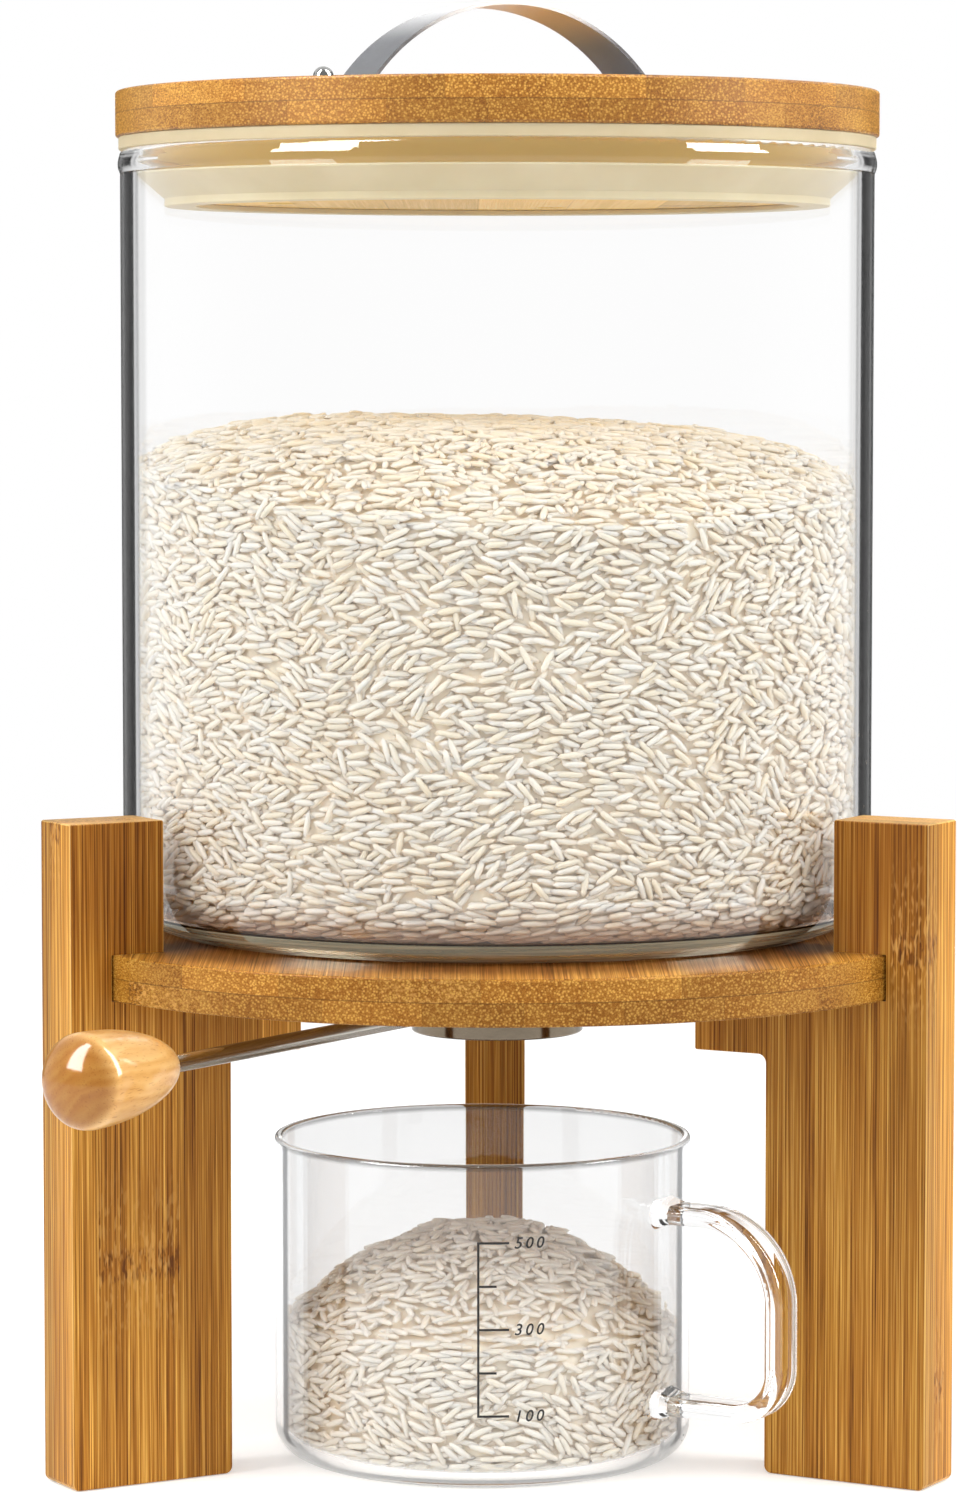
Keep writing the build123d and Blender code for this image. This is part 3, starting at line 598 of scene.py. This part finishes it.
# Rice in the jar: long white grains that fill the jar to a low heap with its crest behind the middle.
# The outer grains lie against the glass, more lie behind the gaps, and a solid core stands for the rest.
grain_length = 0.0072
grain_width = 0.00175
grain_flatness = 0.86
grain_sides = 6
grain_rings = 4
grain_bluntness = 3
grain_room = 0.0013
grain_depth = 0.00055
core_shade = 0.6
grain_clear = 0.0002
grain_tilt = 0.1
grain_beads = (-0.38, -0.19, 0.0, 0.19, 0.38)
grain_drift = 0.8
grain_drift_size = 0.02
grain_stray = 0.5
grain_spread = (0.86, 1.06)
speck_scale = (900, 900, 900)
wall_layers = 3
heap_layers = 3
bed_tries = 20
bed_cover = 0.9
bed_floor_reach = 0.016
corner_calm = 0.3
heap_settle = 0.6
heap_roughness = 0.15
jar_inner_radius = 0.096
jar_floor = 0.143
jar_inner_corner = 0.011
heap_top = 0.2735
heap_fall = 0.0115
heap_back = 0.022
heap_power = 4
heap_lean = -0.03
heap_ripple = 0.0012
heap_ripple_size = 0.022
jar_seed = 11
core_segments = 96
core_corner_steps = 6
core_rings = (1.0, 0.92, 0.8, 0.6, 0.3, 0.0)


def rice_finish():
    """Polished rice: each grain has its own shade, from chalky white to warm cream."""
    finish, tree, shader = new_finish("white_rice")
    shade = add_node(tree, "Attribute", attribute_name="shade").outputs["Fac"]
    place = add_node(tree, "TexCoord").outputs["Object"]
    speck = noise(tree, vector_calc(tree, "MULTIPLY", place, speck_scale), 2.0, 0.5)
    mixed = calc(tree, "MULTIPLY_ADD", speck, 0.3, calc(tree, "MULTIPLY", shade, 0.7))
    colour = ramp(tree, mixed, [
        (0.1, srgb(246, 226, 200)),
        (0.4, srgb(254, 236, 215)),
        (0.8, srgb(255, 243, 228)),
    ])
    feed(tree, shader, {
        "Base Color": colour,
        "Roughness": 0.5,
        "Specular IOR Level": 0.3,
        "Subsurface Weight": 0.8,
        "Subsurface Radius": (0.0026, 0.0024, 0.0021),
        "Subsurface Scale": 1.0,
    })
    return finish


def crowded(beads, taken):
    """Whether any bead of a grain comes too near to one already laid."""
    for x, y in beads:
        column, row = int(x / grain_room), int(y / grain_room)
        for near_column in (column - 1, column, column + 1):
            for near_row in (row - 1, row, row + 1):
                for other_x, other_y in taken.get((near_column, near_row), ()):
                    if hypot(other_x - x, other_y - y) < grain_room:
                        return True
    return False


def lay_grains(wanted, width, height, draw):
    """Places of (across, up, angle) for grains that lie side by side without crossing."""
    taken = {}
    laid = []
    for attempt in range(wanted * bed_tries):
        if len(laid) == wanted:
            break
        across = draw.uniform(0, width)
        up = draw.uniform(0, height)
        drift = noise_at(Vector((across, up, 0)) / grain_drift_size) * grain_drift
        angle = drift + draw.gauss(0, grain_stray)
        beads = []
        for share in grain_beads:
            reach = share * grain_length
            beads.append((across + reach * cos(angle), up + reach * sin(angle)))
        if crowded(beads, taken):
            continue
        for x, y in beads:
            taken.setdefault((int(x / grain_room), int(y / grain_room)), []).append((x, y))
        laid.append((across, up, angle))
    return laid


def grain_mesh():
    """One grain about the origin, lying along X."""
    shape = bmesh.new()
    bmesh.ops.create_uvsphere(shape, u_segments=grain_sides, v_segments=grain_rings, radius=0.5)
    bmesh.ops.rotate(shape, matrix=Matrix.Rotation(radians(90), 3, "Y"), verts=shape.verts)
    for vertex in shape.verts:
        share = abs(vertex.co.x) * 2
        if share < 0.99:
            fuller = sqrt((1 - share ** grain_bluntness) / (1 - share ** 2))
            vertex.co = Vector((vertex.co.x, vertex.co.y * fuller, vertex.co.z * fuller))
    bmesh.ops.scale(shape, vec=(grain_length, grain_width, grain_width * grain_flatness), verts=shape.verts)
    for face in shape.faces:
        face.smooth = True
    mesh = bpy.data.meshes.new("grain")
    shape.to_mesh(mesh)
    shape.free()
    mesh.attributes.new("shade", "FLOAT", "POINT")
    return mesh


one_grain = grain_mesh()
rice_white = rice_finish()


def place_piece(name, shape, finish, body):
    """Turns a bmesh into a piece that rides on a body."""
    mesh = bpy.data.meshes.new(name)
    shape.to_mesh(mesh)
    shape.free()
    mesh.materials.append(finish)
    piece = bpy.data.objects.new(name, mesh)
    bpy.context.scene.collection.objects.link(piece)
    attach(piece, body)
    return piece


def rice_piece(name, placements, body, draw, least_shade):
    """One piece of many grains, each with a place, a direction to point in and an outer side."""
    bed = bmesh.new()
    for place, along, outward in placements:
        side = outward.cross(along).normalized()
        outward = along.cross(side)
        size = draw.uniform(*grain_spread)
        axes = Matrix((along * size, side, outward)).transposed().to_4x4()
        spot = Matrix.Translation(place) @ axes
        shades = [draw.uniform(least_shade, 1.0)] * len(one_grain.vertices)
        one_grain.attributes["shade"].data.foreach_set("value", shades)
        grain = one_grain.copy()
        grain.transform(spot)
        bed.from_mesh(grain)
        bpy.data.meshes.remove(grain)
    return place_piece(name, bed, rice_white, body)


def rice_bed(name, body, axis, inner_radius, floor, corner, surface, seed, least_shade=0.0):
    """Fills a round vessel with rice up to a surface height that depends on the place across it."""
    draw = random.Random(seed)
    bend = corner * pi / 2
    around = 2 * pi * inner_radius
    highest = surface(0, 0) + 2 * heap_ripple
    grain_area = grain_length * grain_width

    def inside(up, depth):
        """Radius, height and lean of the inner wall, measured up from where the floor starts to curve."""
        lean = min(max(up / corner, 0.0), pi / 2)
        radius = inner_radius - corner + (corner - depth) * sin(lean) + min(up, 0.0)
        height = floor + corner - (corner - depth) * cos(lean) + max(up - bend, 0.0)
        return radius, height, lean

    wall_length = bed_floor_reach + bend + highest - floor - corner
    for layer in range(wall_layers):
        depth = grain_width / 2 + grain_clear + layer * grain_depth
        wanted = int(bed_cover * around * wall_length / grain_area)
        placements = []
        for across, up, angle in lay_grains(wanted, around, wall_length, draw):
            turn = across / inner_radius
            radius, height, lean = inside(up - bed_floor_reach, depth)
            x, y = radius * cos(turn), radius * sin(turn)
            if height > surface(x, y) - layer * grain_depth:
                continue
            if 0 < lean < pi / 2:
                angle *= corner_calm
            outward = Vector((cos(turn) * sin(lean), sin(turn) * sin(lean), -cos(lean)))
            sideways = Vector((-sin(turn), cos(turn), 0))
            upward = outward.cross(sideways)
            tilt = abs(draw.gauss(0, grain_tilt))
            along = sideways * cos(angle) + upward * sin(angle) - outward * tilt
            placements.append((axis + Vector((x, y, height)), along.normalized(), outward))
        rice_piece(f"{name}_wall_{layer + 1}", placements, body, draw, least_shade)

    for layer in range(heap_layers):
        wanted = int(bed_cover * 4 * inner_radius ** 2 / grain_area)
        placements = []
        for across, up, angle in lay_grains(wanted, 2 * inner_radius, 2 * inner_radius, draw):
            x, y = across - inner_radius, up - inner_radius
            room = inner_radius - grain_width / 2 - grain_clear
            if hypot(x, y) > room:
                continue
            step = grain_length / 2
            slope_x = (surface(x + step, y) - surface(x - step, y)) / grain_length
            slope_y = (surface(x, y + step) - surface(x, y - step)) / grain_length
            outward = Vector((-slope_x, -slope_y, 1)).normalized()
            flat = Vector((cos(angle * 2), sin(angle * 2), draw.gauss(0, grain_tilt)))
            ends = [hypot(x + side * step * flat.x, y + side * step * flat.y) for side in (-1, 1)]
            if max(ends) > room:
                flat = Vector((-y, x, 0)).normalized()
            along = (flat - outward * flat.dot(outward) * heap_settle).normalized()
            height = surface(x, y) - layer * grain_depth + draw.gauss(0, grain_width * heap_roughness)
            placements.append((axis + Vector((x, y, height)), along, outward))
        rice_piece(f"{name}_heap_{layer + 1}", placements, body, draw, least_shade)

    inset = grain_width / 2 + grain_depth * wall_layers
    outline = [(0.0, floor + inset)]
    for step in range(core_corner_steps + 1):
        radius, height, lean = inside(bend * step / core_corner_steps, inset)
        outline.append((radius, height))
    outline += [(share * (inner_radius - inset), highest) for share in core_rings]
    core = bmesh.new()
    points = [core.verts.new((radius, 0, height)) for radius, height in outline]
    edges = [core.edges.new(pair) for pair in zip(points, points[1:])]
    bmesh.ops.spin(
        core, geom=points + edges, cent=(0, 0, 0), axis=(0, 0, 1),
        angle=2 * pi, steps=core_segments, use_merge=True,
    )
    bmesh.ops.remove_doubles(core, verts=core.verts, dist=grain_clear / 10)
    for vertex in core.verts:
        if vertex.co.z > highest - grain_clear:
            vertex.co.z = surface(vertex.co.x, vertex.co.y) - inset
    shade_layer = core.verts.layers.float.new("shade")
    for vertex in core.verts:
        vertex[shade_layer] = core_shade
    bmesh.ops.recalc_face_normals(core, faces=core.faces)
    bmesh.ops.translate(core, vec=axis, verts=core.verts)
    for face in core.faces:
        face.smooth = True
    place_piece(name + "_core", core, rice_white, body)


def jar_heap(x, y):
    """The height of the rice in the jar."""
    away = hypot(x, y - heap_back) / jar_inner_radius
    ripple = noise_at(Vector((x, y, 0)) / heap_ripple_size) * heap_ripple
    return heap_top - heap_fall * away ** heap_power + heap_lean * x + ripple


rice_bed(
    "jar_rice", "jar", Vector((0, 0, 0)), jar_inner_radius, jar_floor, jar_inner_corner, jar_heap, jar_seed,
)


# Lid: a bamboo disc like the platform, with a smaller bamboo plug screwed under it.
# The plug is one layer of strips, left bare below, and its screws are sunk in its underside.
lid_strips = {"width": 0.025, "shift": 0.55}
lid_knuckle = -0.06
lid_gloss = 0.6
lid_blur = 0.38
plug_layers = {"height": 0.0172, "shift": 0.5, "line": 0.0}
plug_knuckle = 0.13
# The plug is lightened and yellowed with painted light, for the bounce from the rice below it.
plug_painted_lift = 1.15
plug_painted_light = 0.75

dress(bamboo(
    "bamboo_lid", middle("lid_disc"), disc_turn, disc_layers, lid_strips, lid_knuckle,
    gloss=lid_gloss, coat_blur=lid_blur,
), "lid_disc")
dress(bamboo(
    "bamboo_plug", middle("lid_plug"), disc_turn, plug_layers, disc_strips, plug_knuckle,
    tone=plug_painted_lift, gloss=0.0, painted_light=plug_painted_light,
), "lid_plug")
dress(plated_steel, "plug_screws")


# Lid handle: a strap of brushed stainless steel bent to an arch, with polished dome nuts on its tabs.
# Bolts come up through the lid from below, and the crest of the arch is lightened to near white, a painted
# highlight.
handle_turn = (0, 0, radians(29))
brush_width = 0.00018
brush_length = 0.03
strap_metal = 0.3
strap_crest_highlight = (0.372, 0.386)
# Its downward faces are painted blue-grey to offset the brown the lid reflects into them.
brushed_steel = steel(
    "brushed_steel", srgb(106, 108, 112), 0.36, handle_turn, brush_width, brush_length, 0.5,
    metal=strap_metal, under=srgb(126, 160, 216), crest_highlight=strap_crest_highlight,
)
polished_steel = steel(
    "polished_steel", srgb(182, 182, 180), 0.07, (0, 0, 0), screw_scuff, screw_scuff, 0.0,
)
dress(brushed_steel, "handle_strap")
dress(polished_steel, "handle_dome_nuts", "handle_bolts")


# Measuring cup: thin blown borosilicate with a rounded base and a welded handle of the same glass.
# It stands loose under the outlet. Painted shade darkens its wall edge on, its rim and its inner wall.
cup_axis = Vector((-0.004, -0.02, 0))
cup_radius = 0.0552
# Painted shade: the cup wall's colour by how edge on it is seen.
cup_edge_painted_shade = [
    (0.0, (1.0, 1.0, 1.0, 1.0)),
    (0.35, (0.96, 0.96, 0.96, 1.0)),
    (0.64, (0.75, 0.76, 0.77, 1.0)),
    (0.67, (0.03, 0.032, 0.035, 1.0)),
    (0.72, (0.02, 0.022, 0.025, 1.0)),
    (0.75, (0.8, 0.81, 0.82, 1.0)),
    (0.85, (0.75, 0.76, 0.78, 1.0)),
    (0.92, (0.2, 0.21, 0.23, 1.0)),
]
# Painted shade on the rim band and a painted grey reflection on the inner wall.
cup_rim_painted_shade = [(0.0828, 0.084, 0.45)]
cup_inner_painted_shade = (0.053, 0.5)
dress(clear_glass("cup_glass", cup_axis, cup_radius, cup_edge_painted_shade, cup_rim_painted_shade, cup_inner_painted_shade), "measuring_cup")


# Printed scale: dark ceramic ink, screen-printed on the front of the cup, with numbers in millilitres.
# It is a thin film that follows the round of the glass.
print_film = 0.00004
print_line = 0.0006
scale_left = -0.0016
scale_bottom = 0.0198
scale_step = 0.0112
scale_marks = {1: "100", 2: "", 3: "300", 4: "", 5: "500"}
long_mark = 0.0082
short_mark = 0.005
number_gap = 0.0012
number_height = 0.0042
number_slant = 0.22
number_boldness = 0.00005
number_spacing = 1.35
bend_cuts = 8
number_smoothness = 3
ink_scale = (2600, 2600, 2600)


def bar(shape, left, bottom, width, height):
    """A flat bar of print, before it is bent round the cup."""
    made = bmesh.ops.create_cube(shape, size=1.0)["verts"]
    bmesh.ops.translate(shape, vec=(0.5, 0.5, 0.5), verts=made)
    bmesh.ops.scale(shape, vec=(width, print_film, height), verts=made)
    bmesh.ops.translate(shape, vec=(left, 0, bottom), verts=made)
    lengthwise = [
        edge for edge in shape.edges
        if edge.verts[0] in made and abs(edge.verts[0].co.x - edge.verts[1].co.x) > width / 2
    ]
    bmesh.ops.subdivide_edges(shape, edges=lengthwise, cuts=bend_cuts)


def number(shape, text, left, middle_height):
    """A printed number, before it is bent round the cup."""
    letters = bpy.data.curves.new("number", "FONT")
    letters.body = text
    letters.size = number_height
    letters.shear = number_slant
    letters.offset = number_boldness
    letters.space_character = number_spacing
    letters.extrude = print_film / 2
    letters.resolution_u = number_smoothness
    holder = bpy.data.objects.new("number", letters)
    bpy.context.scene.collection.objects.link(holder)
    flat = bpy.data.meshes.new_from_object(holder.evaluated_get(bpy.context.evaluated_depsgraph_get()))
    heights = [vertex.co.y for vertex in flat.vertices]
    lift = middle_height - (min(heights) + max(heights)) / 2
    flat.transform(Matrix.Translation((left, print_film / 2, lift)) @ Matrix.Rotation(radians(90), 4, "X"))
    shape.from_mesh(flat)
    bpy.data.objects.remove(holder)


scale_print, print_tree, print_shader = new_finish("scale_ink")
print_place = add_node(print_tree, "TexCoord").outputs["Object"]
print_speck = vector_calc(print_tree, "MULTIPLY", print_place, ink_scale)
print_cover = noise(print_tree, print_speck, 2.0, 0.5)
feed(print_tree, print_shader, {
    "Base Color": ramp(print_tree, print_cover, [(0.35, srgb(20, 18, 16)), (0.75, srgb(44, 40, 36))]),
    "Roughness": 0.4,
})

flat_print = bmesh.new()
highest_mark = max(scale_marks)
scale_height = scale_step * (highest_mark - 1)
bar(flat_print, scale_left, scale_bottom, print_line, scale_height + print_line)
for mark, text in scale_marks.items():
    mark_height = scale_bottom + scale_step * (mark - 1)
    mark_length = long_mark if text else short_mark
    bar(flat_print, scale_left, mark_height, mark_length, print_line)
    if text:
        number_left = scale_left + mark_length + number_gap
        number(flat_print, text, number_left, mark_height + print_line / 2)
for vertex in flat_print.verts:
    angle = vertex.co.x / cup_radius
    reach = cup_radius + print_film - vertex.co.y
    height = vertex.co.z
    vertex.co = cup_axis + Vector((reach * sin(angle), -reach * cos(angle), height))
bmesh.ops.recalc_face_normals(flat_print, faces=flat_print.faces)
place_piece("cup_scale", flat_print, scale_print, "cup")


# Rice in the cup: the grains that have run out, in a cone below the outlet.
# They lie like those in the jar.
cup_inner_radius = 0.053
cup_floor = 0.0032
cup_inner_corner = 0.0058
cone_top = 0.0605
cone_fall = 0.026
cone_power = 2.2
cone_lean = -0.02
cone_ripple = 0.0022
cone_ripple_size = 0.015
# Painted light: the cup's grains start paler than the jar's, offsetting the platform's shade over them.
cup_painted_light_shade = 0.45
cup_seed = 23


def cup_heap(x, y):
    """The height of the rice in the cup."""
    ripple = noise_at(Vector((x, y, 1)) / cone_ripple_size) * cone_ripple
    return cone_top - cone_fall * (hypot(x, y) / cup_inner_radius) ** cone_power + cone_lean * x + ripple


rice_bed(
    "cup_rice", "cup", cup_axis, cup_inner_radius, cup_floor, cup_inner_corner, cup_heap, cup_seed,
    least_shade=cup_painted_light_shade,
)


# Stage: a plain white floor that keeps the soft shadow and fades into the white studio behind it.
# Tall softboxes stand left and right, and a weaker one hangs in front. Black flags beside the backdrop and
# two bright panels show only in reflections, and give glass and lacquer their dark edges and highlights.
floor_radius = 1.6
floor_fade_start = 0.45
floor_drop = 0.0002
floor_lift = 0.4
floor_tone = (0.86, 0.86, 0.86, 1.0)
floor_segments = 64
room_light = 0.62
lamp_aim = Vector((0, 0, 0.2))
lamps = {
    "softbox_left": (Vector((-1.15, -0.61, 1.05)), (0.6, 0.9), 13.0),
    "softbox_right": (Vector((1.23, -0.42, 1.05)), (0.6, 0.9), 13.0),
    "softbox_front": (Vector((0.1, -1.7, 1.5)), (1.2, 1.0), 6.5),
}
flag_near = 0.1
flag_far = 0.75
flag_height = 0.35
flag_tone = 0.03
glint_power = 24.0
glint_half_width = 0.24
glint_turns = (-1.03, 1.32)
glint_heights = (0.2, 0.95)
glass_bounces = 16

floor_finish, floor_tree, floor_shader = new_finish("studio_floor")
floor_place = add_node(floor_tree, "TexCoord").outputs["Object"]
floor_reach = add_node(floor_tree, "VectorMath", {0: floor_place}, operation="LENGTH").outputs["Value"]
floor_solid = fade(floor_tree, floor_reach, floor_fade_start, floor_radius * 0.95, 1.0, 0.0)
floor_rays = add_node(floor_tree, "LightPath").outputs
floor_seen = calc(floor_tree, "MAXIMUM", floor_rays["Is Camera Ray"], floor_rays["Is Glossy Ray"])
floor_seen = calc(floor_tree, "MAXIMUM", floor_seen, floor_rays["Is Transmission Ray"])
feed(floor_tree, floor_shader, {
    "Base Color": floor_tone,
    "Roughness": 0.9,
    "Specular IOR Level": 0.1,
    "Emission Color": (1.0, 1.0, 1.0, 1.0),
    "Emission Strength": calc(floor_tree, "MULTIPLY", floor_seen, floor_lift),
    "Alpha": floor_solid,
})
floor_shape = bmesh.new()
bmesh.ops.create_circle(floor_shape, cap_ends=True, segments=floor_segments, radius=floor_radius)
bmesh.ops.translate(floor_shape, vec=(0, 0, -floor_drop), verts=floor_shape.verts)
floor_mesh = bpy.data.meshes.new("floor")
floor_shape.to_mesh(floor_mesh)
floor_shape.free()
floor_mesh.materials.append(floor_finish)
floor = bpy.data.objects.new("floor", floor_mesh)
bpy.context.scene.collection.objects.link(floor)

world = bpy.data.worlds.new("studio")
world.use_nodes = True
bpy.context.scene.world = world
world_tree = world.node_tree
world_way = add_node(world_tree, "TexCoord").outputs["Generated"]
world_side, world_back, world_up = add_node(world_tree, "SeparateXYZ", {0: world_way}).outputs
world_rays = add_node(world_tree, "LightPath").outputs
off_middle = calc(world_tree, "ABSOLUTE", world_side)
off_level = calc(world_tree, "ABSOLUTE", world_up)
flags = fade(world_tree, off_middle, flag_near * 0.5, flag_near)
flag_limits = [
    fade(world_tree, off_middle, flag_far * 0.9, flag_far, 1.0, 0.0),
    fade(world_tree, off_level, flag_height * 0.7, flag_height, 1.0, 0.0),
    fade(world_tree, world_back, 0.0, 0.2),
]
for limit in flag_limits:
    flags = calc(world_tree, "MULTIPLY", flags, limit)
mirrored = fade(world_tree, world_back, -0.6, 0.5, 0.35, 1.0)
mirrored = calc(world_tree, "MULTIPLY", mirrored, fade(world_tree, flags, 0.0, 1.0, 1.0, flag_tone))
world_turn = calc(world_tree, "ARCTAN2", world_side, calc(world_tree, "MULTIPLY", world_back, -1.0))
glint_low, glint_high = glint_heights
glint_span = calc(world_tree, "SUBTRACT", world_up, (glint_low + glint_high) / 2)
glint_span = calc(world_tree, "ABSOLUTE", glint_span)
glint_span = calc(world_tree, "LESS_THAN", glint_span, (glint_high - glint_low) / 2)
for glint_turn in glint_turns:
    off_glint = calc(world_tree, "ABSOLUTE", calc(world_tree, "SUBTRACT", world_turn, glint_turn))
    glint = calc(world_tree, "LESS_THAN", off_glint, glint_half_width)
    glint = calc(world_tree, "MULTIPLY", glint, glint_span)
    mirrored = calc(world_tree, "MULTIPLY_ADD", glint, glint_power, mirrored)
seen_through = calc(world_tree, "MAXIMUM", world_rays["Is Camera Ray"], world_rays["Is Transmission Ray"])
reflected = {0: world_rays["Is Glossy Ray"], 2: room_light, 3: mirrored}
brightness = add_node(world_tree, "Mix", reflected).outputs[0]
brightness = add_node(world_tree, "Mix", {0: seen_through, 2: brightness, 3: 1.0}).outputs[0]
feed(world_tree, world_tree.nodes["Background"], {"Color": (1.0, 1.0, 1.0, 1.0), "Strength": brightness})

for name, (spot, size, power) in lamps.items():
    lamp = bpy.data.lights.new(name, "AREA")
    lamp.shape = "RECTANGLE"
    lamp.size, lamp.size_y = size
    lamp.energy = power
    holder = bpy.data.objects.new(name, lamp)
    holder.location = spot
    holder.visible_glossy = False
    holder.rotation_euler = (lamp_aim - spot).to_track_quat("-Z", "Y").to_euler()
    bpy.context.scene.collection.objects.link(holder)


# Camera: a long lens a little above the middle of the jar, looking slightly down.
# The whole dispenser fills the frame.
camera_spot = (-0.0096, -1.3956, 0.2930)
camera_down = 0.0769
camera_turn = -0.0033
camera_lens = 125.4
camera_sensor = 36.0

camera_data = bpy.data.cameras.new("camera")
camera_data.lens = camera_lens
camera_data.sensor_width = camera_sensor
camera = bpy.data.objects.new("camera", camera_data)
camera.location = camera_spot
camera.rotation_euler = (pi / 2 - camera_down, 0, camera_turn)
bpy.context.scene.collection.objects.link(camera)
bpy.context.scene.camera = camera
bpy.context.scene.view_settings.view_transform = "Standard"
bpy.context.scene.cycles.max_bounces = glass_bounces
bpy.context.scene.cycles.glossy_bounces = glass_bounces
bpy.context.scene.cycles.transmission_bounces = glass_bounces
